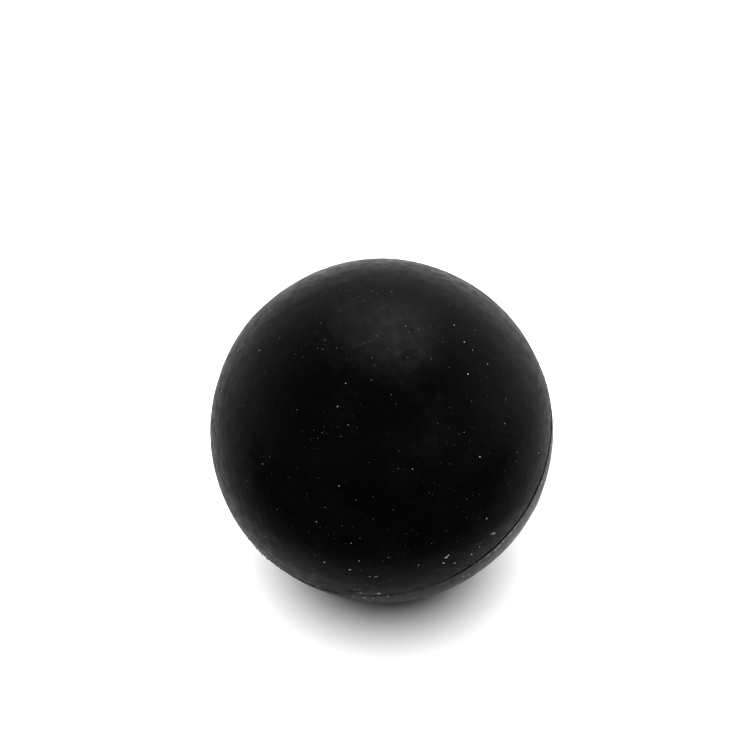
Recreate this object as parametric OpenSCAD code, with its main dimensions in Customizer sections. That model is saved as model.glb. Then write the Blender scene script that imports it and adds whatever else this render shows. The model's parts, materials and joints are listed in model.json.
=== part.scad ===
// Friction ball for turning screwed watch case backs: a hollow rubber ball that is kept firm by air.
// Two moulded half shells are cemented rim to rim, and a self-sealing needle valve sits in the lower
// shell's pole. Millimetres. The origin is the ball's centre, and +Z is up as the ball lies on a bench.
// Every piece is drawn about the mould axis, plain pole up, and then leaned as the ball lies.

/* [Ball] */
// Outside diameter of the ball
ball_d = 65; // [58:0.5:80]
// Wall thickness of the two half shells
wall = 7; // [5:0.25:9]
// Lean of the mould axis from vertical, as the ball lies (degrees)
lean = 29; // [0:1:90]

/* [Seam] */
// Thickness of the cement film between the two rims
cement_t = 0.2; // [0.1:0.05:0.6]
// Width of the bevel on each rim's outer edge, which opens the seam's groove
bevel_w = 0.1; // [0.05:0.05:0.4]
// Depth of the seam's groove below the ball's surface
groove_depth = 0.35; // [0.25:0.05:1]
// Depth to which cement leaves the groove open
groove_open = 0.15; // [0.05:0.05:0.2]
// Radius of the bead of cement that is squeezed out inside the ball
bead_r = 0.8; // [0.4:0.1:1.5]

/* [Valve housing] */
// Diameter of the flange that is bonded to the flat inside the lower shell
flange_d = 18; // [15:0.5:22]
// Thickness of the flange at the stem
flange_t = 2; // [1.5:0.1:3]
// Thickness of the flange at its thin edge
flange_edge_t = 0.7; // [0.4:0.1:1.2]
// Width of the flat inside the lower shell that shows around the flange
flat_margin = 1; // [0.5:0.25:2]
// Diameter of the neck through the wall, and of the stem inside the ball
stem_d = 9; // [8:0.25:11]
// Length of the stem's straight part beyond the core's inner end, below its domed tip
stem_cover = 1.8; // [0.4:0.2:4]
// Depth of the valve below the ball's surface
valve_sink = 0.25; // [0.1:0.05:0.5]

/* [Valve core] */
// Diameter of the core's head
head_d = 6.4; // [6:0.1:7]
// Thickness of the core's head
head_t = 1.6; // [1.2:0.1:2.5]
// Diameter of the core's shank
shank_d = 4.4; // [3.8:0.1:5]
// Diameter of the bulb that locks the core in its housing
bulb_d = 5.6; // [5.2:0.1:6]
// Length of the bulb's straight part
bulb_l = 2; // [1:0.25:3]
// Diameter of the pump needle that goes in
needle_d = 1.8; // [1.4:0.1:2]
// Clearance around the needle in its guide hole
needle_clearance = 0.1; // [0.05:0.05:0.3]
// Depth of the needle's guide hole, below the core's outer face
guide_l = 5; // [3:0.25:7]
// Width of the funnel at the guide hole's mouth, which leads the needle in
funnel_w = 0.5; // [0.2:0.1:0.8]

/* [Hidden] */
$fn = 128;

ball_r = ball_d / 2;
cavity_r = ball_r - wall;
over = 1;                                     // how far a cutting shape runs past what it cuts

rim_z = cement_t / 2;                         // height of a rim's face above the seam plane
groove_r = ball_r - groove_depth;             // radius of the groove's bottom
bevel_slope = bevel_w / groove_depth;         // the bevel's rise for each millimetre outwards
cement_r = ball_r - groove_open;              // outer radius of the cement
fillet_z = rim_z + (cement_r - groove_r) * bevel_slope;   // half the width of the cement's outer face

flat_r = flange_d / 2 + flat_margin;
flat_z = -sqrt(cavity_r * cavity_r - flat_r * flat_r);    // the flat inside the lower shell's pole
valve_r = ball_r - valve_sink;                // the valve's outer faces follow a sphere of this radius

head_z = -valve_r + head_t;                   // underside of the core's head
bulb_z = flat_z + flange_t;                   // start of the bulb's straight part
bulb_cone_l = bulb_d - shank_d;               // length of the cone at each end of the bulb
tip_z = bulb_z + bulb_l + bulb_cone_l;        // the core's inner end
stem_end_z = tip_z + stem_cover;              // where the stem's straight part ends and its dome starts
guide_r = needle_d / 2 + needle_clearance;

// Turns a piece from the mould frame to the frame of the ball as it lies.
module as_it_lies() {
    rotate([lean, 0, 0]) children();
}

// A ball's wall, from the cavity to the outside.
module whole_wall() {
    difference() {
        sphere(r = ball_r);
        sphere(r = cavity_r);
    }
}

// Everything above a rim's face, less the bevel that opens the groove.
module above_rim() {
    rotate_extrude()
        polygon([
            [0, rim_z],
            [groove_r, rim_z],
            [ball_r + over, rim_z + (groove_depth + over) * bevel_slope],
            [ball_r + over, ball_r + over],
            [0, ball_r + over]
        ]);
}

// The plain half of the ball.
module upper_half_shell() {
    color([0.07, 0.07, 0.07])
        intersection() {
            whole_wall();
            above_rim();
        }
}

// The half that holds the valve: its cavity has a flat at the pole, with a hole for the valve's neck.
module lower_half_shell() {
    color([0.08, 0.08, 0.08])
        intersection() {
            difference() {
                sphere(r = ball_r);
                intersection() {
                    sphere(r = cavity_r);
                    translate([0, 0, flat_z])
                        cylinder(r = ball_r, h = ball_d);
                }
                translate([0, 0, -ball_r - over])
                    cylinder(d = stem_d, h = ball_d);
            }
            mirror([0, 0, 1])
                above_rim();
        }
}

// The film of cement between the rims, the fillet in the groove and the bead inside the ball.
module seam_cement() {
    color([0.16, 0.14, 0.13])
        union() {
            rotate_extrude()
                polygon([
                    [cavity_r - bead_r / 2, -rim_z],
                    [groove_r, -rim_z],
                    [cement_r, -fillet_z],
                    [cement_r, fillet_z],
                    [groove_r, rim_z],
                    [cavity_r - bead_r / 2, rim_z]
                ]);
            intersection() {
                sphere(r = cavity_r);
                rotate_extrude()
                    translate([cavity_r, 0])
                        circle(r = bead_r);
            }
        }
}

// The room that the core fills: a counterbore for its head, a bore and a pocket for its bulb.
module core_body() {
    translate([0, 0, -ball_r])
        cylinder(d = head_d, h = head_z + ball_r);
    translate([0, 0, head_z])
        cylinder(d = shank_d, h = bulb_z - head_z);
    translate([0, 0, bulb_z - bulb_cone_l])
        cylinder(d1 = shank_d, d2 = bulb_d, h = bulb_cone_l);
    translate([0, 0, bulb_z])
        cylinder(d = bulb_d, h = bulb_l);
    translate([0, 0, bulb_z + bulb_l])
        cylinder(d1 = bulb_d, d2 = shank_d, h = bulb_cone_l);
}

// A rubber sleeve with a flange, closed at its inner end, which is bonded into the lower shell.
module valve_housing() {
    color([0.10, 0.10, 0.11])
        difference() {
            intersection() {
                union() {
                    translate([0, 0, -ball_r])
                        cylinder(d = stem_d, h = stem_end_z + ball_r);
                    translate([0, 0, stem_end_z])
                        sphere(d = stem_d);
                    translate([0, 0, flat_z])
                        cylinder(d = flange_d, h = flange_edge_t);
                    translate([0, 0, flat_z + flange_edge_t])
                        cylinder(d1 = flange_d, d2 = stem_d, h = flange_t - flange_edge_t);
                }
                sphere(r = valve_r);
            }
            core_body();
        }
}

// The self-sealing plug: its guide hole takes the needle, which then parts the closed slit below.
module valve_core() {
    color([0.13, 0.12, 0.11])
        difference() {
            intersection() {
                core_body();
                sphere(r = valve_r);
            }
            translate([0, 0, -ball_r - over])
                cylinder(r = guide_r, h = over + valve_sink + guide_l);
            translate([0, 0, -valve_r])
                cylinder(r1 = guide_r + funnel_w, r2 = guide_r, h = funnel_w);
        }
}

as_it_lies() upper_half_shell();
as_it_lies() lower_half_shell();
as_it_lies() seam_cement();
as_it_lies() valve_housing();
as_it_lies() valve_core();
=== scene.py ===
"""A watchmaker's friction ball: a hollow black rubber ball moulded in two halves, for turning case backs.

Every piece is worked out in the mould frame, in millimetres, with the plain pole up along +Z and the
seam in the plane Z = 0. to_bench() then leans it as the ball lies and turns millimetres into metres.
"""
import json
import math

import bpy
import numpy as np
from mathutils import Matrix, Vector


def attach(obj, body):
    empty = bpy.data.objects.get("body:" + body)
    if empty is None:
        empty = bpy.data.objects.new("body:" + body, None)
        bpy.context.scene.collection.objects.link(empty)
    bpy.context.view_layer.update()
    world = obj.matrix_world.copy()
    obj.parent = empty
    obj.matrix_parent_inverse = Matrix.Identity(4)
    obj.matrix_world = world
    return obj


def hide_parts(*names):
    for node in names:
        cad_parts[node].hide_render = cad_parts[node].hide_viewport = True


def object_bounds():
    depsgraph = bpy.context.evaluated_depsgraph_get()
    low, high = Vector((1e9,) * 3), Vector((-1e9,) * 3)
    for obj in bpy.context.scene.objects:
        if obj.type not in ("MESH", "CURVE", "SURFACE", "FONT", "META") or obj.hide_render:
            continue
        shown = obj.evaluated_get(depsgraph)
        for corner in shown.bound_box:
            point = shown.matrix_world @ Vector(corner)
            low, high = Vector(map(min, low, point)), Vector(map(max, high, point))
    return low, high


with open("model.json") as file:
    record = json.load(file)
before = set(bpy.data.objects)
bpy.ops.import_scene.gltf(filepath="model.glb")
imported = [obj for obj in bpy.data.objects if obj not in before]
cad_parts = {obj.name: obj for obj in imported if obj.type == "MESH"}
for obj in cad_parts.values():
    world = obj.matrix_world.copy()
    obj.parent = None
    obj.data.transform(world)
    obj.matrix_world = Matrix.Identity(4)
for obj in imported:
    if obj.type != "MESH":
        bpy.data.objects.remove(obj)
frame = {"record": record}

CAD_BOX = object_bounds()
RECORD = frame["record"]
MOUNTS = {mount["name"]: mount for mount in RECORD["mounts"]}

# ---------------------------------------------------------------------------------------------------
# Sizes, in millimetres. The ball's radius and its lean come from the frame, the rest is as drawn there.
# ---------------------------------------------------------------------------------------------------
MM = 0.001
BALL_R = 1000 * float(MOUNTS["palm_grip"]["pos_m"][2])
MOULD_AXIS = -np.array(MOUNTS["needle_hole"]["axis"], dtype=float)
WALL = 7.0
CAVITY_R = BALL_R - WALL
RIM_GAP = 0.2                # the cement film between the rims
BEVEL_W = 0.1                # width of the bevel on each rim, which opens the seam's groove
GROOVE_DEPTH = 0.35
CEMENT_SUNK = 0.15           # how far the cement's face lies below the ball's surface
BEAD_R = 0.8                 # the bead of cement squeezed out inside
EDGE_ROUND = 0.13            # rounding of each rim's outer edge
SKIN_LIFT = 0.04             # height over the true sphere at which the skin's marks are placed

SLIP = 0.10                  # how far the lower mould half sat off the upper one, along the seam
SLIP_AZIMUTH = 5.0           # the side on which the lower half stands proud

FLANGE_R = 9.0
FLANGE_T = 2.0
FLANGE_EDGE_T = 0.7
FLAT_R = 10.0
FLAT_Z = -math.sqrt(CAVITY_R ** 2 - FLAT_R ** 2)
NECK_R = 4.5
VALVE_R = BALL_R - 0.25
STEM_COVER = 1.8
HEAD_R = 3.2
HEAD_T = 1.6
SHANK_R = 2.2
BULB_R = 2.8
BULB_L = 2.0
GUIDE_R = 1.0
GUIDE_L = 5.0
FUNNEL_W = 0.5

# ---------------------------------------------------------------------------------------------------
# Mesh tools
# ---------------------------------------------------------------------------------------------------
LEAN = math.atan2(-MOULD_AXIS[1], MOULD_AXIS[2])
TO_BENCH = np.array([
    [1.0, 0.0, 0.0],
    [0.0, math.cos(LEAN), -math.sin(LEAN)],
    [0.0, math.sin(LEAN), math.cos(LEAN)],
])


def to_bench(points):
    """Turns mould-frame points by the lean about X, and millimetres into metres."""
    return points @ TO_BENCH.T * MM


def smoothstep(low, high, x):
    """0 below low, 1 above high, and 3t^2 - 2t^3 between them."""
    t = np.clip((x - low) / (high - low), 0.0, 1.0)
    return t * t * (3.0 - 2.0 * t)


def azimuth_gap(azimuth, centre):
    """Signed angle in degrees from centre to azimuth, wrapped to -180..180."""
    return (azimuth - centre + 180.0) % 360.0 - 180.0


def ripple(points, wavelength, seed, waves=28):
    """A smooth random field of about unit size: the sum of plane sine waves with random directions,
    phases and wavelengths about the given one, times the root of two over their number."""
    rng = np.random.default_rng(seed)
    directions = rng.normal(size=(waves, 3))
    directions /= np.linalg.norm(directions, axis=1)[:, None]
    lengths = wavelength * rng.uniform(0.75, 1.35, waves)
    phases = rng.uniform(0.0, 2 * math.pi, waves)
    total = np.zeros(points.shape[:-1])
    for direction, length, phase in zip(directions, lengths, phases):
        total += np.sin(points @ direction * (2 * math.pi / length) + phase)
    return total * math.sqrt(2.0 / waves)


def grid_faces(rows, cols, close_rows):
    """Quads of a grid whose columns close on themselves, and whose rows do too if asked."""
    last = rows if close_rows else rows - 1
    i, j = np.meshgrid(np.arange(last), np.arange(cols), indexing="ij")
    below, right = (i + 1) % rows, (j + 1) % cols
    quads = np.stack([i * cols + j, below * cols + j, below * cols + right, i * cols + right], -1)
    return quads.reshape(-1, 4)


def add_piece(name, grid, material, replaces=(), poles=None, sharp=40.0):
    """One closed mesh from a grid of points (rows, columns, 3) whose columns run round the mould axis.
    Rows run down the outside and back up the inside, so that faces look outwards. poles holds the first
    and last points where the rows don't close on themselves: each is joined to its row by a fan."""
    rows, cols = grid.shape[:2]
    points = grid.reshape(-1, 3)
    faces = grid_faces(rows, cols, poles is None).tolist()
    if poles is not None:
        first, last = len(points), len(points) + 1
        points = np.vstack([points, poles])
        ring = np.arange(cols)
        nxt = (ring + 1) % cols
        end = (rows - 1) * cols
        faces += np.stack([np.full(cols, first), ring, nxt], -1).tolist()
        faces += np.stack([np.full(cols, last), end + nxt, end + ring], -1).tolist()
    mesh = bpy.data.meshes.new(name)
    mesh.from_pydata(to_bench(points).tolist(), [], faces)
    mesh.validate()
    mesh.shade_smooth()
    mesh.set_sharp_from_angle(angle=math.radians(sharp))
    piece = bpy.data.objects.new(name, mesh)
    bpy.context.collection.objects.link(piece)
    mesh.materials.append(material)
    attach(piece, "root")
    if replaces:
        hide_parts(*replaces)


def revolve(profile, cols):
    """Carries a profile of (radius, z) rows round the axis: x = r cos a, y = r sin a."""
    angles = np.linspace(0.0, 2 * math.pi, cols, endpoint=False)
    r, z = profile[:, 0][:, None], profile[:, 1][:, None]
    return np.stack([r * np.cos(angles), r * np.sin(angles), z + 0 * angles], -1)


def rounded(corners, steps=5):
    """A profile through corners (radius, z, rounding): each corner is replaced by a quadratic curve that
    starts and ends at its rounding's distance from it."""
    points = np.array([c[:2] for c in corners], dtype=float)
    out = [points[0]]
    t = np.linspace(0.0, 1.0, steps)[:, None]
    for before, here, after, corner in zip(points[:-2], points[1:-1], points[2:], corners[1:-1]):
        size = corner[2]
        if size <= 0:
            out.append(here)
            continue
        a = here + (before - here) * min(0.45, size / np.linalg.norm(before - here))
        b = here + (after - here) * min(0.45, size / np.linalg.norm(after - here))
        out.extend((1 - t) ** 2 * a + 2 * t * (1 - t) * here + t ** 2 * b)
    out.append(points[-1])
    return np.array(out)


def arc(radius, from_deg, to_deg, rows):
    """A profile's stretch on a sphere: (radius cos e, radius sin e) for elevations e above the seam."""
    e = np.radians(np.linspace(from_deg, to_deg, rows))
    return np.stack([radius * np.cos(e), radius * np.sin(e)], -1)


def on_ball(azimuth, polar, radius=BALL_R):
    """The mould-frame point at an azimuth and at a polar angle from the plain pole, in degrees."""
    a, p = math.radians(azimuth), math.radians(polar)
    return radius * np.array([math.sin(p) * math.cos(a), math.sin(p) * math.sin(a), math.cos(p)])


def in_bench(azimuth, polar):
    """A point on the ball's skin, in millimetres in the frame that materials read."""
    return tuple(to_bench(on_ball(azimuth, polar, BALL_R + SKIN_LIFT)) / MM)


def face_z(radius):
    """Height of the valve's sunk outer face, a sphere of VALVE_R, at a radius from the mould axis."""
    return -math.sqrt(VALVE_R ** 2 - radius ** 2)


# ---------------------------------------------------------------------------------------------------
# Material tools. Patterns are measured in millimetres on the ball.
# ---------------------------------------------------------------------------------------------------
def node_group(name, inputs, outputs):
    """An empty shader group with inputs {name: default}, float or vector, and float outputs. Gives the
    group, its wiring, and the sockets that its nodes read and write."""
    tree = bpy.data.node_groups.new(name, "ShaderNodeTree")
    for label, value in {"Position": (0.0, 0.0, 0.0), **inputs}.items():
        kind = "NodeSocketVector" if isinstance(value, tuple) else "NodeSocketFloat"
        tree.interface.new_socket(label, in_out="INPUT", socket_type=kind).default_value = value
    for label in outputs:
        tree.interface.new_socket(label, in_out="OUTPUT", socket_type="NodeSocketFloat")
    given = tree.nodes.new("NodeGroupInput").outputs
    out = tree.nodes.new("NodeGroupOutput").inputs
    return tree, Wiring(tree), given, out


class Wiring:
    """Short ways to add nodes to a tree and link them."""

    def __init__(self, tree):
        self.tree = tree

    def add(self, kind, **settings):
        node = self.tree.nodes.new(kind)
        for key, value in settings.items():
            setattr(node, key, value)
        return node

    def put(self, socket, value):
        if isinstance(value, bpy.types.NodeSocket):
            self.tree.links.new(value, socket)
        else:
            socket.default_value = value

    def math(self, operation, a, b=0.0, clamp=False):
        node = self.add("ShaderNodeMath", operation=operation, use_clamp=clamp)
        self.put(node.inputs[0], a)
        self.put(node.inputs[1], b)
        return node.outputs[0]

    def times(self, first, *others):
        for other in others:
            first = self.math("MULTIPLY", first, other)
        return first

    def vector(self, operation, a, b=None, scale=None):
        node = self.add("ShaderNodeVectorMath", operation=operation)
        self.put(node.inputs[0], a)
        if b is not None:
            self.put(node.inputs[1], b)
        if scale is not None:
            self.put(node.inputs["Scale"], scale)
        gives_number = operation in ("DOT_PRODUCT", "LENGTH", "DISTANCE")
        return node.outputs["Value"] if gives_number else node.outputs[0]

    def ramp(self, value, low, high, to_low=0.0, to_high=1.0):
        """Smoothstep from low to high, mapped to to_low and to_high."""
        node = self.add("ShaderNodeMapRange", interpolation_type="SMOOTHSTEP")
        for index, part in enumerate((value, low, high, to_low, to_high)):
            self.put(node.inputs[index], part)
        return node.outputs[0]

    def noise(self, position, size, detail=2.0, rough=0.5, warp=0.0):
        """Noise whose features are about size millimetres across."""
        node = self.add("ShaderNodeTexNoise")
        self.put(node.inputs["Vector"], position)
        self.put(node.inputs["Scale"], self.math("DIVIDE", 1.0, size))
        self.put(node.inputs["Detail"], detail)
        self.put(node.inputs["Roughness"], rough)
        self.put(node.inputs["Distortion"], warp)
        return node.outputs["Fac"]

    def group(self, tree, position, **values):
        node = self.add("ShaderNodeGroup", node_tree=tree)
        self.put(node.inputs["Position"], position)
        for label, value in values.items():
            self.put(node.inputs[label.replace("_", " ")], value)
        return node.outputs

    def near(self, position, place, full, none, least=0.0):
        """1 within full millimetres of a place (azimuth, polar angle) on the ball, least beyond none."""
        away = self.vector("DISTANCE", position, in_bench(*place))
        return self.ramp(away, full, none, 1.0, least)

    def mix_colour(self, factor, a, b):
        node = self.add("ShaderNodeMix", data_type="RGBA")
        self.put(node.inputs[0], factor)
        self.put(node.inputs[6], a)
        self.put(node.inputs[7], b)
        return node.outputs[2]


def build_grain():
    """Moulded rubber's skin. Height is fine pitting on soft orange peel, and Tone varies the roughness."""
    tree, w, given, out = node_group(
        "moulded grain", {"Pit Size": 0.25, "Peel Size": 1.8}, ("Height", "Tone"))
    pits = w.noise(given["Position"], given["Pit Size"], 3.0, 0.6)
    peel = w.noise(given["Position"], given["Peel Size"], 3.0, 0.55)
    w.put(out["Height"], w.math("ADD", w.times(pits, 0.3), w.times(peel, 0.7)))
    w.put(out["Tone"], w.math("ADD", w.times(pits, 0.35), w.times(peel, 0.65)))
    return tree


def build_bloom():
    """Dry bloom on rubber: broad clouds broken up by finer wisps. Cover is 0 for clean, 1 for hazed."""
    tree, w, given, out = node_group("rubber bloom", {"Cloud Size": 11.0, "Wisp Size": 2.4}, ("Cover",))
    clouds = w.noise(given["Position"], given["Cloud Size"], 4.0, 0.55, 0.6)
    wisps = w.noise(given["Position"], given["Wisp Size"], 4.0, 0.65, 1.2)
    w.put(out["Cover"], w.times(w.ramp(clouds, 0.38, 0.72), w.ramp(wisps, 0.3, 0.75, 0.35, 1.0)))
    return tree


def build_specks():
    """Loose specks: balls of random size round random points in space, seen where the surface cuts them.
    Share is the part of the points that carry one. Cover is the specks, Shade their own brightness."""
    tree, w, given, out = node_group(
        "dust specks", {"Spacing": 1.5, "Speck Size": 0.15, "Share": 0.4}, ("Cover", "Shade"))
    cells = w.add("ShaderNodeTexVoronoi")
    w.put(cells.inputs["Vector"], given["Position"])
    w.put(cells.inputs["Scale"], w.math("DIVIDE", 1.0, given["Spacing"]))
    chance = w.add("ShaderNodeSeparateColor")
    w.put(chance.inputs[0], cells.outputs["Color"])
    kept = w.math("LESS_THAN", chance.outputs[0], given["Share"])
    size = w.times(given["Speck Size"], w.ramp(chance.outputs[1], 0.0, 1.0, 0.5, 1.2))
    reach = w.math("DIVIDE", w.times(cells.outputs["Distance"], given["Spacing"]), size)
    w.put(out["Cover"], w.times(w.ramp(reach, 0.6, 1.0, 1.0, 0.0), kept))
    w.put(out["Shade"], w.ramp(chance.outputs[2], 0.0, 1.0, 0.12, 1.0))
    return tree


def build_scratch():
    """A hairline between two points. Cover falls from 1 on the line to 0 at its width, and towards its
    ends: the distance is to the nearest point of the line, start + t (end - start) with t in 0..1."""
    tree, w, given, out = node_group(
        "hairline scratch", {"Start": (0.0, 0.0, 0.0), "End": (1.0, 0.0, 0.0), "Width": 0.1}, ("Cover",))
    run = w.vector("SUBTRACT", given["End"], given["Start"])
    from_start = w.vector("SUBTRACT", given["Position"], given["Start"])
    along = w.vector("DOT_PRODUCT", from_start, run)
    t = w.math("DIVIDE", along, w.vector("DOT_PRODUCT", run, run), clamp=True)
    away = w.vector("DISTANCE", from_start, w.vector("SCALE", run, scale=t))
    line = w.ramp(away, w.times(given["Width"], 0.4), given["Width"], 1.0, 0.0)
    ends = w.ramp(w.math("ABSOLUTE", w.math("SUBTRACT", t, 0.5)), 0.2, 0.5, 1.0, 0.25)
    w.put(out["Cover"], w.times(line, ends, w.ramp(w.noise(given["Position"], 0.5), 0.35, 0.6, 0.35, 1.0)))
    return tree


def build_seam_dirt_and_light():
    """Dirt and painted light along the seam. The first output is a pale band on the lower half's edge, with
    a little on the upper one's: partly dust and partly painted light, as if the edge caught the floor's
    light at a slant. Grit is a row of pale crumbs on the lower lip. Both follow the height over the seam
    plane, measured along the mould axis."""
    tree, w, given, out = node_group("seam dirt and painted light", {"Band": 13.0, "Lip": 0.62}, ("Grime And Painted Light", "Grit"))
    height = w.vector("DOT_PRODUCT", given["Position"], tuple(MOULD_AXIS))
    low_edge = w.times(given["Band"], -1.0)
    fading = w.ramp(height, low_edge, w.times(low_edge, 0.3))
    below = w.times(fading, w.ramp(height, -0.42, -0.28, 1.0, 0.0))
    above = w.times(w.ramp(height, 0.28, 0.42), w.ramp(height, 0.8, 5.5, 0.16, 0.0))
    band = w.math("ADD", below, above)
    patches = w.ramp(w.noise(given["Position"], 1.6, 4.0, 0.7), 0.35, 0.65, 0.6, 1.0)
    # The band is partly dust and partly painted light, caught from the floor at a slant
    w.put(out["Grime And Painted Light"], w.times(band, patches))
    off_lip = w.math("ABSOLUTE", w.math("ADD", height, given["Lip"]))
    lip = w.ramp(off_lip, 0.08, 0.26, 1.0, 0.0)
    crumbs = w.ramp(w.noise(given["Position"], 0.36, 2.0, 0.6), 0.50, 0.60)
    runs = w.ramp(w.noise(given["Position"], 3.2, 2.0, 0.5), 0.40, 0.52)
    w.put(out["Grit"], w.times(lip, crumbs, runs))
    return tree


GRAIN = build_grain()
BLOOM = build_bloom()
SPECKS = build_specks()
SCRATCH = build_scratch()
SEAM_DIRT_AND_LIGHT = build_seam_dirt_and_light()

BLOOM_GREY = (0.0028, 0.0028, 0.0031, 1.0)
BLOOM_WARM = (0.0042, 0.0029, 0.0024, 1.0)
# Pale pink of the band under the seam: partly dust, partly painted light
GRIME_AND_LIGHT_PINK = (0.086, 0.071, 0.073, 1.0)
STAIN_RED = (0.060, 0.032, 0.030, 1.0)
DUST_WHITE = (0.62, 0.61, 0.58, 1.0)
DUST_TINT = (1.0, 0.90, 0.92, 1.0)
FLECK_WHITE = (0.85, 0.84, 0.81, 1.0)
GRIT_CREAM = (0.60, 0.55, 0.46, 1.0)
SCUFF_GREY = (0.055, 0.055, 0.054, 1.0)
GRAIN_DEPTH = 0.04           # depth of the moulded grain, in millimetres

# Hairlines as (start, end, width, paleness): azimuth and polar angle in the mould frame, then millimetres
SCRATCHES = [
    ((61.6, 5.7), (54.0, 13.1), 0.10, 0.055),
    ((-153.0, 57.5), (-150.0, 53.0), 0.12, 0.08),
    ((-139.0, 54.5), (-134.0, 50.5), 0.10, 0.08),
    ((-29.2, 78.7), (-26.2, 81.3), 0.11, 0.10),
    ((-96.0, 74.0), (-91.0, 79.0), 0.08, 0.08),
    ((150.0, 62.0), (158.0, 70.0), 0.10, 0.08),
    ((75.0, 118.0), (84.0, 124.0), 0.10, 0.08),
    ((-71.0, 86.6), (-61.8, 86.8), 0.18, 0.55),
    ((-73.5, 89.0), (-66.5, 89.3), 0.15, 0.40),
    ((-66.6, 90.8), (-62.4, 91.6), 0.18, 0.45),
    ((-22.4, 80.9), (-21.1, 82.3), 0.26, 0.9),
    ((-62.6, 75.0), (-61.2, 74.7), 0.17, 0.7),
]
# Single specks of lint as (azimuth, polar angle, radius)
FLECKS = [
    (-73.3, 91.1, 0.42), (-69.7, 91.5, 0.44), (-67.2, 91.9, 0.26), (-64.1, 87.2, 0.36), (-61.9, 90.3, 0.26),
    (-85.3, 89.0, 0.36), (2.7, 91.3, 0.32), (16.1, 91.9, 0.30), (-38.5, 76.3, 0.30), (-37.6, 75.9, 0.20),
    (-40.2, 78.5, 0.22), (-37.2, 81.8, 0.20), (-31.2, 82.9, 0.22), (-20.7, 72.7, 0.18), (-69.6, 70.4, 0.20),
    (-78.0, 68.0, 0.18), (-83.7, 77.4, 0.18), (-65.5, 66.2, 0.14), (132.0, 60.0, 0.22), (101.0, 72.0, 0.2),
]
# Crumbs of old cement on the lower half's lip, as (azimuth, polar angle, radius)
CRUMBS = [
    (-14.4, 91.4, 0.30), (-16.9, 91.5, 0.38), (-17.8, 92.0, 0.28), (-20.4, 91.8, 0.22), (-22.3, 92.1, 0.42),
    (-23.1, 92.0, 0.30), (-23.9, 92.2, 0.42), (-26.8, 92.0, 0.24), (-35.3, 96.5, 0.34), (-37.2, 95.3, 0.34),
]
# Reddish stains beside the seam, as (azimuth, polar angle, radius)
STAINS = [(-29.7, 95.8, 1.7), (-9.0, 88.3, 2.4), (-77.0, 88.6, 1.6), (-88.0, 87.5, 2.2)]
SCAR_AT = (-68.5, 89.4)      # where the sprue's flash was cut off, on the seam
SMUDGE_AT = (48.0, 20.0)     # the rubbed patch near the plain pole
SMUDGE_R = 10.5              # and how far it reaches
GRIT_AT = (-21.0, 92.0)      # where most of the pale crumbs lie along the seam
GRIME_AND_LIGHT_AT = (0.0, 95.0)       # where the band under the seam is palest: dust, and painted light on the lit side


def add_wear_and_light(w, position, shifted, skin):
    """Lays the ball's own marks over a skin colour, each over the ones before: the seam's pale band, partly
    dust and partly painted light, its stains and grit, the scar and its shavings, the rubbed patch, the
    scratches and the single specks."""
    dirt_and_light = w.group(SEAM_DIRT_AND_LIGHT, position)
    # Pale band under the seam: partly dust, partly painted light, palest on the lit side
    grime_and_light = w.times(dirt_and_light["Grime And Painted Light"], w.near(position, GRIME_AND_LIGHT_AT, 8.0, 20.0, 0.03))
    skin = w.mix_colour(grime_and_light, skin, GRIME_AND_LIGHT_PINK)
    blotches = w.ramp(w.noise(position, 0.9, 3.0, 0.7), 0.4, 0.65)
    for azimuth, polar, radius in STAINS:
        stain = w.times(w.near(position, (azimuth, polar), 0.3 * radius, radius), blotches, 0.7)
        skin = w.mix_colour(stain, skin, STAIN_RED)
    grit = w.times(dirt_and_light["Grit"], w.near(position, GRIT_AT, 4.0, 10.0, 0.12))
    skin = w.mix_colour(grit, skin, GRIT_CREAM)

    at_scar = w.near(position, SCAR_AT, 1.4, 4.2)
    shavings = w.group(SPECKS, shifted, Spacing=0.85, Speck_Size=0.26, Share=0.8)
    skin = w.mix_colour(w.times(at_scar, 0.3), skin, SCUFF_GREY)
    skin = w.mix_colour(w.times(at_scar, shavings["Cover"], shavings["Shade"]), skin, FLECK_WHITE)
    smears = w.ramp(w.noise(position, 2.2, 5.0, 0.6, 0.4), 0.3, 0.8, 0.2, 1.0)
    smudge = w.times(w.near(position, SMUDGE_AT, 1.0, SMUDGE_R), smears)
    skin = w.mix_colour(w.times(smudge, 0.34), skin, SCUFF_GREY)

    for start, end, width, paleness in SCRATCHES:
        mark = w.group(SCRATCH, position, Start=in_bench(*start), End=in_bench(*end), Width=width)
        skin = w.mix_colour(w.times(mark["Cover"], paleness), skin, DUST_WHITE)
    for colour, spots in ((FLECK_WHITE, FLECKS), (GRIT_CREAM, CRUMBS)):
        for azimuth, polar, radius in spots:
            spot = w.near(position, (azimuth, polar), 0.45 * radius, radius)
            skin = w.mix_colour(spot, skin, colour)
    return skin


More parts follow.
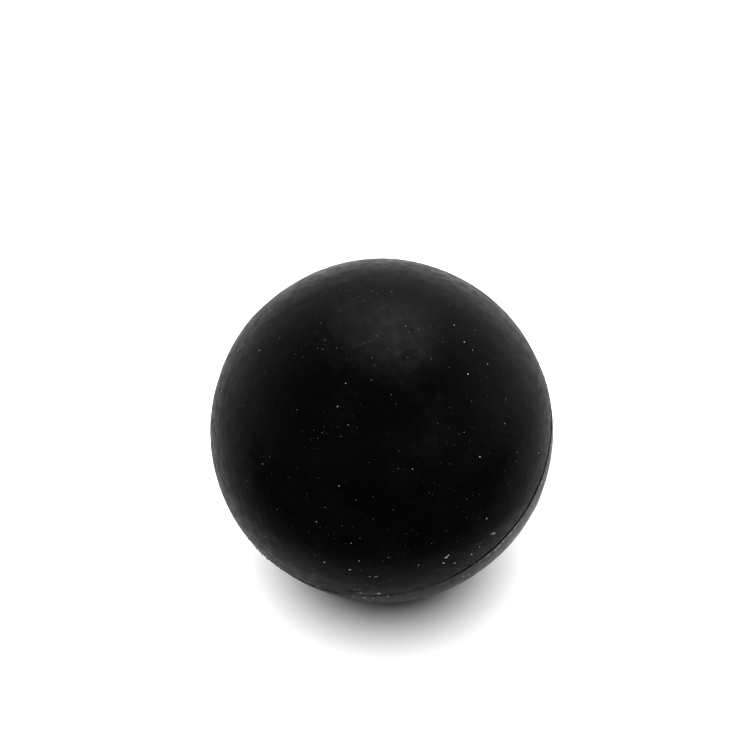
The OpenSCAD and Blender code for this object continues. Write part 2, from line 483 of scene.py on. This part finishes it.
def rubber(name, colour, roughness, specular, dust=1.0, haze=1.0, wear_and_light=False, sheen=0.0):
    """Black moulded rubber: dark skin with grain, dry bloom and pale dust. One with wear also has the
    ball's marks, among them a pale band under the seam that is partly dust and partly painted light. Sheen
    is the film of fine dust that shows at a slant."""
    material = bpy.data.materials.new(name)
    material.use_nodes = True
    w = Wiring(material.node_tree)
    shader = material.node_tree.nodes["Principled BSDF"]
    position = w.vector("SCALE", w.add("ShaderNodeTexCoord").outputs["Object"], scale=1.0 / MM)
    shifted = w.vector("ADD", position, (41.0, 17.0, 5.0))
    grain = w.group(GRAIN, position)

    # Dry bloom, in two casts
    bloom = w.times(w.group(BLOOM, position)["Cover"], haze)
    cast = w.ramp(w.noise(w.vector("ADD", position, (7.0, 3.0, 29.0)), 9.0, 2.0, 0.5), 0.4, 0.6)
    skin = w.mix_colour(bloom, (*colour, 1.0), w.mix_colour(cast, BLOOM_GREY, BLOOM_WARM))
    if wear_and_light:
        skin = add_wear_and_light(w, position, shifted, skin)

    # Dust, thicker in drifts: powder, fibres of lint and larger specks
    drift = w.ramp(w.noise(position, 14.0, 2.0, 0.5), 0.35, 0.65, 0.35, 1.5)
    powder = w.group(SPECKS, shifted, Spacing=0.75, Speck_Size=0.08, Share=w.times(drift, 0.5 * dust))
    fibres = w.vector("MULTIPLY", shifted, (1.0, 0.22, 1.0))
    lint = w.group(SPECKS, fibres, Spacing=2.6, Speck_Size=0.1, Share=0.22 * dust)
    specks = w.group(SPECKS, position, Speck_Size=0.135, Share=w.times(drift, 0.32 * dust))
    skin = w.mix_colour(w.times(powder["Cover"], powder["Shade"], 0.35), skin, DUST_WHITE)
    skin = w.mix_colour(w.times(lint["Cover"], lint["Shade"], 0.6), skin, DUST_WHITE)
    skin = w.mix_colour(w.times(specks["Cover"], specks["Shade"]), skin, DUST_WHITE)
    w.put(shader.inputs["Base Color"], skin)

    toned = w.ramp(grain["Tone"], 0.35, 0.65, roughness - 0.09, roughness + 0.09)
    dull = w.math("ADD", toned, w.times(bloom, 0.10))
    w.put(shader.inputs["Roughness"], w.math("ADD", dull, w.times(specks["Cover"], 0.3), clamp=True))
    shader.inputs["Specular IOR Level"].default_value = specular
    shader.inputs["Sheen Weight"].default_value = sheen
    shader.inputs["Sheen Roughness"].default_value = 0.35
    shader.inputs["Sheen Tint"].default_value = DUST_TINT
    bump = w.add("ShaderNodeBump")
    bump.inputs["Strength"].default_value = 0.5
    bump.inputs["Distance"].default_value = GRAIN_DEPTH * MM
    w.put(bump.inputs["Height"], w.math("ADD", grain["Height"], w.times(specks["Cover"], 1.5)))
    w.put(shader.inputs["Normal"], bump.outputs[0])
    return material


SHELL_FINISH = {"colour": (0.0005, 0.0005, 0.0005), "roughness": 0.31, "specular": 0.05, "wear_and_light": True}
SHELL_RUBBER = rubber("black shell rubber", **SHELL_FINISH)
DUSTY_RUBBER = rubber("dusty black shell rubber", sheen=0.165, **SHELL_FINISH)
FLASH_RUBBER = rubber("trimmed flash rubber", (0.0035, 0.0030, 0.0028), 0.34, 0.06, dust=1.6, wear_and_light=True)
SEAM_RUBBER = rubber("seam cement", (0.010, 0.0082, 0.0072), 0.7, 0.04, dust=0.4)
VALVE_RUBBER = rubber("valve rubber", (0.004, 0.004, 0.0042), 0.36, 0.12, dust=0.5, haze=0.5)
CORE_RUBBER = rubber("valve core rubber", (0.008, 0.0074, 0.0068), 0.32, 0.14, dust=0.4, haze=0.3)

# ---------------------------------------------------------------------------------------------------
# The two half shells
# ---------------------------------------------------------------------------------------------------
SHELL_COLUMNS = 660
# Soft swells and flats of the soft ball: (azimuth, elevation above the seam, width, height in mm)
SWELLS = [
    (-150.0, 30.0, 30.0, -0.05),
    (40.0, 10.0, 26.0, -0.05),
    (100.0, 20.0, 40.0, 0.05),
    (-60.0, -30.0, 30.0, 0.05),
]
# Small pits left by trimming: (azimuth, polar angle, radius in mm, depth in mm)
PITS = [
    (-73.0, 85.3, 0.5, 0.26),
    (-71.2, 84.8, 0.5, 0.24),
    (-66.0, 88.0, 0.4, 0.10),
    (-81.0, 87.5, 0.35, 0.10),
    (118.0, 88.0, 0.5, 0.15),
]


def swell_at(points):
    """How far the soft ball stands off its true sphere: a bell over the angle from each swell's middle,
    and a slow ripple."""
    unit = points / np.linalg.norm(points, axis=-1, keepdims=True)
    total = 0.03 * ripple(points, 24.0, seed=5)
    for azimuth, elevation, width, height in SWELLS:
        middle = on_ball(azimuth, 90.0 - elevation, 1.0)
        angle = np.degrees(np.arccos(np.clip(unit @ middle, -1.0, 1.0)))
        total += height * np.exp(-((angle / width) ** 2))
    return total


def relief_at(points):
    """How far the moulded skin stands off the true sphere: the swells, the skin's unevenness as two finer
    ripples, and the trimming pits, each a bell over the distance from its middle."""
    relief = swell_at(points) + 0.012 * ripple(points, 5.0, seed=11) + 0.006 * ripple(points, 1.9, seed=12)
    for azimuth, polar, radius, depth in PITS:
        away = np.linalg.norm(points - on_ball(azimuth, polar), axis=-1)
        relief -= depth * np.exp(-((away / radius) ** 2))
    return relief


def slip_at(azimuth):
    """How far the lower half stands proud of the upper one at an azimuth in degrees: a cosine."""
    return SLIP * np.cos(np.radians(azimuth - SLIP_AZIMUTH))


def skin_relief(grid):
    """Moves a shell's outer points along their radius by the skin's relief. The rim's lips wander a little
    to and from the seam, by a ripple that fades over the first millimetre."""
    length = np.linalg.norm(grid, axis=-1, keepdims=True)
    outside = smoothstep(BALL_R - 1.2, BALL_R - 0.3, length[..., 0])
    grid = grid * (1 + (outside * relief_at(grid))[..., None] / length)
    height = np.abs(grid[..., 2])
    lip = smoothstep(BALL_R - 0.3, BALL_R - 0.05, length[..., 0]) * (1.0 - smoothstep(0.15, 1.2, height))
    grid[..., 2] += np.sign(grid[..., 2]) * lip * (0.02 + 0.02 * ripple(grid, 1.6, seed=13))
    return grid


def outer_rows(sign):
    """Outer profile from near the pole to the rim, with rows drawn together at the rim, then the rim's
    rounded edge, the bevel into the groove and the rim's face."""
    edge = math.degrees((RIM_GAP / 2 + BEVEL_W + EDGE_ROUND) / BALL_R)
    dome = np.vstack([
        arc(BALL_R, 89.4, 12.0, 80),
        arc(BALL_R, 11.4, 2.0, 18),
        arc(BALL_R, 1.75, edge, 6),
    ])
    lip = rounded([
        (*dome[-1], 0.0),
        (BALL_R, RIM_GAP / 2 + BEVEL_W, EDGE_ROUND),
        (BALL_R - GROOVE_DEPTH, RIM_GAP / 2, 0.04),
        (CAVITY_R + 0.6, RIM_GAP / 2, 0.0),
    ], 6)[1:]
    return np.vstack([dome, lip]) * (1.0, sign)


def add_upper_shell():
    """The plain half: down the outside from the pole to the rim, and up the cavity."""
    inner = arc(CAVITY_R, 0.5, 88.5, 16)
    profile = np.vstack([outer_rows(1.0), inner])
    grid = skin_relief(revolve(profile, SHELL_COLUMNS))
    top = np.array([[0.0, 0.0, BALL_R]])
    top = top * (1 + swell_at(top)[:, None] / BALL_R)
    poles = np.vstack([top, [[0.0, 0.0, CAVITY_R]]])
    add_piece("upper_half_shell_skin", grid, SHELL_RUBBER, ["upper_half_shell"], poles)


def add_lower_shell():
    """The valve's half: from the rim down the outside to the valve's hole, up through it, and over the
    flange's flat to the cavity. It sits a little off the upper half, along the seam."""
    hole_e = math.degrees(math.acos((NECK_R + 1.0) / BALL_R))
    outer = outer_rows(-1.0)
    keep = outer[:, 1] > -BALL_R * math.sin(math.radians(hole_e)) + 0.05
    mouth = rounded([
        (NECK_R + 1.0, -math.sqrt(BALL_R ** 2 - (NECK_R + 1.0) ** 2), 0.0),
        (NECK_R, -math.sqrt(BALL_R ** 2 - NECK_R ** 2), 0.3),
        (NECK_R, FLAT_Z - 0.4, 0.0),
        (NECK_R, FLAT_Z, 0.05),
        (FLAT_R, FLAT_Z, 0.1),
        (FLAT_R + 0.3, -math.sqrt(CAVITY_R ** 2 - (FLAT_R + 0.3) ** 2), 0.0),
    ])
    inner_top = math.degrees(math.acos((FLAT_R + 0.6) / CAVITY_R))
    inner = arc(CAVITY_R, -inner_top, -0.5, 16)
    profile = np.vstack([outer[keep][::-1], mouth, inner])
    grid = skin_relief(revolve(profile, SHELL_COLUMNS))
    side = math.radians(SLIP_AZIMUTH)
    slip = SLIP * np.array([math.cos(side), math.sin(side), 0.0])
    fade = smoothstep(-BALL_R, -0.2 * BALL_R, grid[..., 2])
    grid = grid + fade[..., None] * slip
    add_piece("lower_half_shell_skin", grid, DUSTY_RUBBER, ["lower_half_shell"])


# ---------------------------------------------------------------------------------------------------
# The seam: the cement between the rims, and the flash left on it
# ---------------------------------------------------------------------------------------------------
FILLET_HALF = 0.155          # half the width of the cement's outer face
FILLET_HOLLOW = 0.06         # how far that face dips in its middle
CEMENT_COLUMNS = 900


def add_seam_cement():
    """The cement film: a hollow-faced fillet in the groove, the film between the rims and a half-round
    bead inside, with a slow unevenness in the fillet and the bead."""
    across = np.linspace(1.0, -1.0, 7)
    face_r = BALL_R - CEMENT_SUNK - FILLET_HOLLOW * (1 - across ** 2)
    fillet = np.stack([face_r, FILLET_HALF * across], -1)
    turn = np.radians(np.linspace(-95.0, -265.0, 13))
    bead = np.stack([CAVITY_R + BEAD_R * np.cos(turn), BEAD_R * np.sin(turn)], -1)
    film_low = [[BALL_R - GROOVE_DEPTH, -RIM_GAP / 2], [CAVITY_R + 0.3, -RIM_GAP / 2]]
    film_high = [[CAVITY_R + 0.3, RIM_GAP / 2], [BALL_R - GROOVE_DEPTH, RIM_GAP / 2]]
    profile = np.vstack([fillet, film_low, bead, film_high])
    grid = revolve(profile, CEMENT_COLUMNS)
    length = np.linalg.norm(grid, axis=-1)
    uneven = np.where(length > BALL_R - 0.3, 0.03, 0.0) + np.where(length < CAVITY_R - 0.2, 0.08, 0.0)
    grid = grid * (1 + (uneven * ripple(grid, 2.2, seed=21)) / length)[..., None]
    add_piece("seam_cement_ring", grid, SEAM_RUBBER, ["seam_cement"])


# What the trimming knife left, going round: (from, to, height over the ball, half width, tear), in mould
# azimuths and millimetres. A height below zero lies under the groove's lips, where only the groove shows.
FLASH_STRETCHES = [
    (-40.0, 3.0, -0.30, 0.05, 0.00),
    (3.0, 24.0, 0.02, 0.22, 0.05),
    (24.0, 96.0, -0.02, 0.26, 0.04),
    (96.0, 128.0, 0.06, 0.16, 0.09),
    (128.0, 205.0, -0.30, 0.05, 0.00),
    (205.0, 235.0, 0.02, 0.20, 0.05),
    (235.0, 285.0, 0.02, 0.20, 0.045),
    (285.0, 299.0, 0.025, 0.95, 0.03),
    (299.0, 317.0, 0.015, 0.90, 0.006),
    (317.0, 320.0, -0.10, 0.25, 0.00),
]
FLASH_COLUMNS = 1800
FLASH_FADE = 2.0             # degrees of azimuth over which one stretch passes into the next
FLASH_FOOT = 0.42            # depth of the ridge's foot below the ball's surface, where the ridge is thin


def add_flash():
    """The trimmed flash: a ridge along the seam whose height, half width and tear change with azimuth. It
    bridges the two rims, from the upper one's skin to the lower one's, with a crown of 1 - s^2 across its
    width that is torn by ripples. Its foot stands in the groove."""
    azimuth = np.linspace(-40.0, 320.0, FLASH_COLUMNS, endpoint=False)
    height, half, tear = np.zeros((3, FLASH_COLUMNS))
    for start, stop, up, wide, torn in FLASH_STRETCHES:
        middle, reach = (start + stop) / 2, (stop - start) / 2
        away = np.abs(azimuth_gap(azimuth, middle))
        share = 1.0 - smoothstep(reach - FLASH_FADE, reach + FLASH_FADE, away)
        height += share * up
        half += share * wide
        tear += share * torn
    s = np.linspace(1.0, -1.0, 13)[:, None]
    a = np.radians(azimuth)
    z = s * half
    on_sphere = np.sqrt(BALL_R ** 2 - z ** 2)
    place = np.stack([on_sphere * np.cos(a), on_sphere * np.sin(a), z], -1)
    teeth = np.abs(ripple(place, 0.8, seed=31)) + 0.4 * ripple(place, 0.45, seed=32)
    skin = on_sphere + relief_at(place) + slip_at(azimuth) * (1 - s) / 2
    crown = skin + (height + tear * teeth) * (1 - s ** 2) - 0.02 * s ** 2
    foot_s = np.array([-1.0, -0.4, 0.4, 1.0])[:, None]
    foot = np.full((4, FLASH_COLUMNS), BALL_R - FLASH_FOOT) - 0.2 * smoothstep(0.0, 0.25, half)
    radius = np.vstack([crown, foot])
    z = np.vstack([z, foot_s * np.minimum(half, 0.9)])
    drift = 0.04 * ripple(np.stack([BALL_R * np.cos(a), BALL_R * np.sin(a), 0 * a], -1), 6.0, seed=33)
    grid = np.stack([radius * np.cos(a), radius * np.sin(a), z + drift], -1)
    add_piece("seam_flash", grid, FLASH_RUBBER, sharp=70.0)


# ---------------------------------------------------------------------------------------------------
# The valve at the lower pole
# ---------------------------------------------------------------------------------------------------
BULB_Z = FLAT_Z + FLANGE_T
BULB_CONE_L = 2 * (BULB_R - SHANK_R)
TIP_Z = BULB_Z + BULB_L + BULB_CONE_L
HEAD_Z = -VALVE_R + HEAD_T
STEM_END_Z = TIP_Z + STEM_COVER
VALVE_COLUMNS = 180


def add_valve_housing():
    """The sleeve: down the domed stem and the flange's cone, through the neck to the sunk outer face, and
    up the counterbore, the bore and the bulb's pocket."""
    dome = arc(NECK_R, 88.0, 0.0, 12) + (0.0, STEM_END_Z)
    skirt = rounded([
        (*dome[-1], 0.0),
        (NECK_R, FLAT_Z + FLANGE_T, 0.7),
        (FLANGE_R, FLAT_Z + FLANGE_EDGE_T, 0.25),
        (FLANGE_R, FLAT_Z, 0.08),
        (NECK_R, FLAT_Z, 0.05),
        (NECK_R, face_z(NECK_R), 0.22),
        (HEAD_R, face_z(HEAD_R), 0.14),
        (HEAD_R, HEAD_Z, 0.08),
        (SHANK_R, HEAD_Z, 0.12),
        (SHANK_R, BULB_Z - BULB_CONE_L, 0.3),
        (BULB_R, BULB_Z, 0.3),
        (BULB_R, BULB_Z + BULB_L, 0.3),
        (SHANK_R, TIP_Z, 0.1),
        (0.1, TIP_Z, 0.0),
    ], 6)[1:]
    grid = revolve(np.vstack([dome, skirt]), VALVE_COLUMNS)
    poles = np.array([[0.0, 0.0, STEM_END_Z + NECK_R], [0.0, 0.0, TIP_Z]])
    add_piece("valve_housing_sleeve", grid, VALVE_RUBBER, ["valve_housing"], poles)


def add_valve_core():
    """The plug: down its tip, bulb, shank and head to the sunk face, then in over the funnel's rounded
    mouth and up the guide hole to its closed end."""
    hole_end = -VALVE_R + GUIDE_L
    profile = rounded([
        (0.1, TIP_Z, 0.0),
        (SHANK_R, TIP_Z, 0.1),
        (BULB_R, BULB_Z + BULB_L, 0.3),
        (BULB_R, BULB_Z, 0.3),
        (SHANK_R, BULB_Z - BULB_CONE_L, 0.3),
        (SHANK_R, HEAD_Z, 0.12),
        (HEAD_R, HEAD_Z, 0.08),
        (HEAD_R, face_z(HEAD_R), 0.14),
        (GUIDE_R + FUNNEL_W, face_z(GUIDE_R + FUNNEL_W) + 0.03, 0.25),
        (GUIDE_R, -VALVE_R + FUNNEL_W, 0.3),
        (GUIDE_R, hole_end, 0.1),
        (0.1, hole_end, 0.0),
    ], 6)
    grid = revolve(profile, VALVE_COLUMNS)
    poles = np.array([[0.0, 0.0, TIP_Z], [0.0, 0.0, hole_end]])
    add_piece("valve_core_plug", grid, CORE_RUBBER, ["valve_core"], poles)


add_upper_shell()
add_lower_shell()
add_seam_cement()
add_flash()
add_valve_housing()
add_valve_core()

# ---------------------------------------------------------------------------------------------------
# Floor, lights and camera
# ---------------------------------------------------------------------------------------------------
CAMERA_AZIMUTH = 29.0
CAMERA_ELEVATION = 42.0
CAMERA_DISTANCE = 8 * BALL_R * MM   # metres, as are all lengths from here on
LENS = 65.27
AIM_UP = 0.01042             # the camera looks this far above and left of the ball's middle
AIM_LEFT = 0.00125


def direction(azimuth, elevation):
    """Unit vector towards an azimuth (0 is -Y, 90 is +X) and an elevation, in degrees."""
    a, e = math.radians(azimuth), math.radians(elevation)
    return Vector((math.cos(e) * math.sin(a), -math.cos(e) * math.cos(a), math.sin(e)))


def add_camera():
    """A long lens that looks down at the ball, a little off its middle."""
    towards = direction(CAMERA_AZIMUTH, CAMERA_ELEVATION)
    camera = bpy.data.objects.new("camera", bpy.data.cameras.new("camera"))
    bpy.context.collection.objects.link(camera)
    camera.data.lens = LENS
    camera.data.clip_start = 0.01
    up = direction(CAMERA_AZIMUTH, CAMERA_ELEVATION + 90)
    right = up.cross(towards)
    aim = AIM_UP * up - AIM_LEFT * right
    camera.location = CAMERA_DISTANCE * towards
    camera.rotation_euler = (aim - camera.location).to_track_quat("-Z", "Y").to_euler()
    bpy.context.scene.camera = camera


FLOOR_SIZE = 8.0
RING_R = 0.041               # radius of the bright half ring that gloss shows in front of the ball


def add_floor():
    """A plain white floor with a faint glow, as light creeps under the ball. Seen in the ball's gloss it
    is dimmer, because its own light is brighter than white, and nearly dark on the camera's side but for
    a half ring just in front of the ball."""
    bpy.ops.mesh.primitive_plane_add(size=FLOOR_SIZE, location=(0, 0, CAD_BOX[0][2]))
    floor = bpy.context.object
    floor.name = "floor"
    material = bpy.data.materials.new("white floor")
    material.use_nodes = True
    w = Wiring(material.node_tree)
    shader = material.node_tree.nodes["Principled BSDF"]
    seen = w.add("ShaderNodeLightPath").outputs["Is Camera Ray"]
    place = w.add("ShaderNodeTexCoord").outputs["Object"]
    to_camera = w.vector("DOT_PRODUCT", place, tuple(direction(CAMERA_AZIMUTH, 0)))
    far_side = w.ramp(to_camera, -0.02, 0.06, 1.0, 0.0)
    far_grey = w.ramp(to_camera, -0.25, -0.07, 0.40, 0.25)
    far_colour = w.vector("SCALE", (1.0, 1.0, 1.0), scale=far_grey)
    in_gloss = w.mix_colour(far_side, (0.02, 0.02, 0.02, 1.0), far_colour)
    # The half ring is a painted glow: emission that only gloss sees, a painted reflection on the ball's
    # lower edge; the camera's side is painted dark for gloss, as painted shade
    off_ring = w.math("ABSOLUTE", w.math("SUBTRACT", w.vector("LENGTH", place), RING_R))
    ring = w.ramp(off_ring, 0.006, 0.022, 1.0, 0.0)
    strip = w.ramp(w.times(ring, w.ramp(to_camera, -0.014, 0.004)), 0.0, 1.0, 0.05, 0.42)
    w.put(shader.inputs["Base Color"], w.mix_colour(seen, in_gloss, (0.8, 0.8, 0.8, 1.0)))
    shader.inputs["Emission Color"].default_value = (1.0, 1.0, 1.0, 1.0)
    w.put(shader.inputs["Emission Strength"], w.ramp(seen, 0.0, 1.0, strip, 0.010))
    shader.inputs["Roughness"].default_value = 0.9
    shader.inputs["Specular IOR Level"].default_value = 0.0
    floor.data.materials.append(material)
    floor.visible_diffuse = False
    return floor


def link_light(lamp, floor, state):
    """Makes the floor the only thing that a lamp lights, or the only thing that it doesn't."""
    receivers = bpy.data.collections.new(lamp.name + " receivers")
    receivers.objects.link(floor)
    lamp.light_linking.receiver_collection = receivers
    receivers.collection_objects[0].light_linking.link_state = state


# Broad lights as (name, azimuth, elevation, energy, width in degrees, state, in gloss): one that INCLUDEs
# the floor lights nothing else, one that EXCLUDEs it lights all but the floor, and gloss shows it or not
SUNS = [
    ("floor light", CAMERA_AZIMUTH + 215.0, 84.5, 8.7, 90.0, "INCLUDE", True),
    ("floor creep", 0.0, 90.0, 0.25, 150.0, "INCLUDE", True),
    ("dust fill", CAMERA_AZIMUTH + 35.0, 55.0, 2.2, 80.0, "EXCLUDE", False),
    ("floor bounce", CAMERA_AZIMUTH, 14.0, 0.95, 50.0, "EXCLUDE", False),
]


def add_sun(floor, name, azimuth, elevation, energy, width, state, in_gloss):
    """A broad soft light from far away, width degrees across, which gloss may show or not."""
    lamp = bpy.data.objects.new(name, bpy.data.lights.new(name, "SUN"))
    bpy.context.collection.objects.link(lamp)
    lamp.data.energy = energy
    lamp.data.angle = math.radians(width)
    lamp.rotation_euler = (-direction(azimuth, elevation)).to_track_quat("-Z", "Y").to_euler()
    lamp.visible_glossy = in_gloss
    link_light(lamp, floor, state)


def add_softbox(name, azimuth, elevation, distance, size, radiance, floor):
    """A square lamp that shines at the ball and not on the floor."""
    lamp = bpy.data.objects.new(name, bpy.data.lights.new(name, "AREA"))
    bpy.context.collection.objects.link(lamp)
    lamp.data.shape = "SQUARE"
    lamp.data.size = size
    lamp.data.energy = radiance * math.pi * size * size
    lamp.location = distance * direction(azimuth, elevation)
    lamp.rotation_euler = (-lamp.location).to_track_quat("-Z", "Y").to_euler()
    link_light(lamp, floor, "EXCLUDE")


BACKDROP = 1.2               # brightness of the white behind everything


def build_world():
    """A white room for the background and the gloss, which lights nothing else. Gloss shows it dimmer
    towards the camera and a little brighter on the camera's right."""
    world = bpy.data.worlds.new("studio")
    bpy.context.scene.world = world
    world.use_nodes = True
    world.cycles_visibility.diffuse = False
    w = Wiring(world.node_tree)
    background = world.node_tree.nodes["Background"]
    background.inputs["Color"].default_value = (1.0, 1.0, 1.0, 1.0)
    looks = w.add("ShaderNodeTexCoord").outputs["Generated"]
    to_right = w.vector("DOT_PRODUCT", looks, tuple(direction(CAMERA_AZIMUTH + 90, 0)))
    to_camera = w.vector("DOT_PRODUCT", looks, tuple(direction(CAMERA_AZIMUTH, CAMERA_ELEVATION)))
    sides = w.ramp(to_right, -1.0, 1.0, 0.88, 1.26)
    room = w.times(sides, w.ramp(to_camera, -0.2, 0.9, 1.0, 0.25))
    seen = w.add("ShaderNodeLightPath").outputs["Is Camera Ray"]
    w.put(background.inputs["Strength"], w.math("MAXIMUM", room, w.times(seen, BACKDROP)))


add_camera()
floor = add_floor()
for sun in SUNS:
    add_sun(floor, *sun)
add_softbox("overhead softbox", CAMERA_AZIMUTH, 114.0, distance=0.8, size=0.7, radiance=2.1, floor=floor)
build_world()
scene = bpy.context.scene
scene.view_settings.view_transform = "Standard"
scene.view_settings.look = "None"
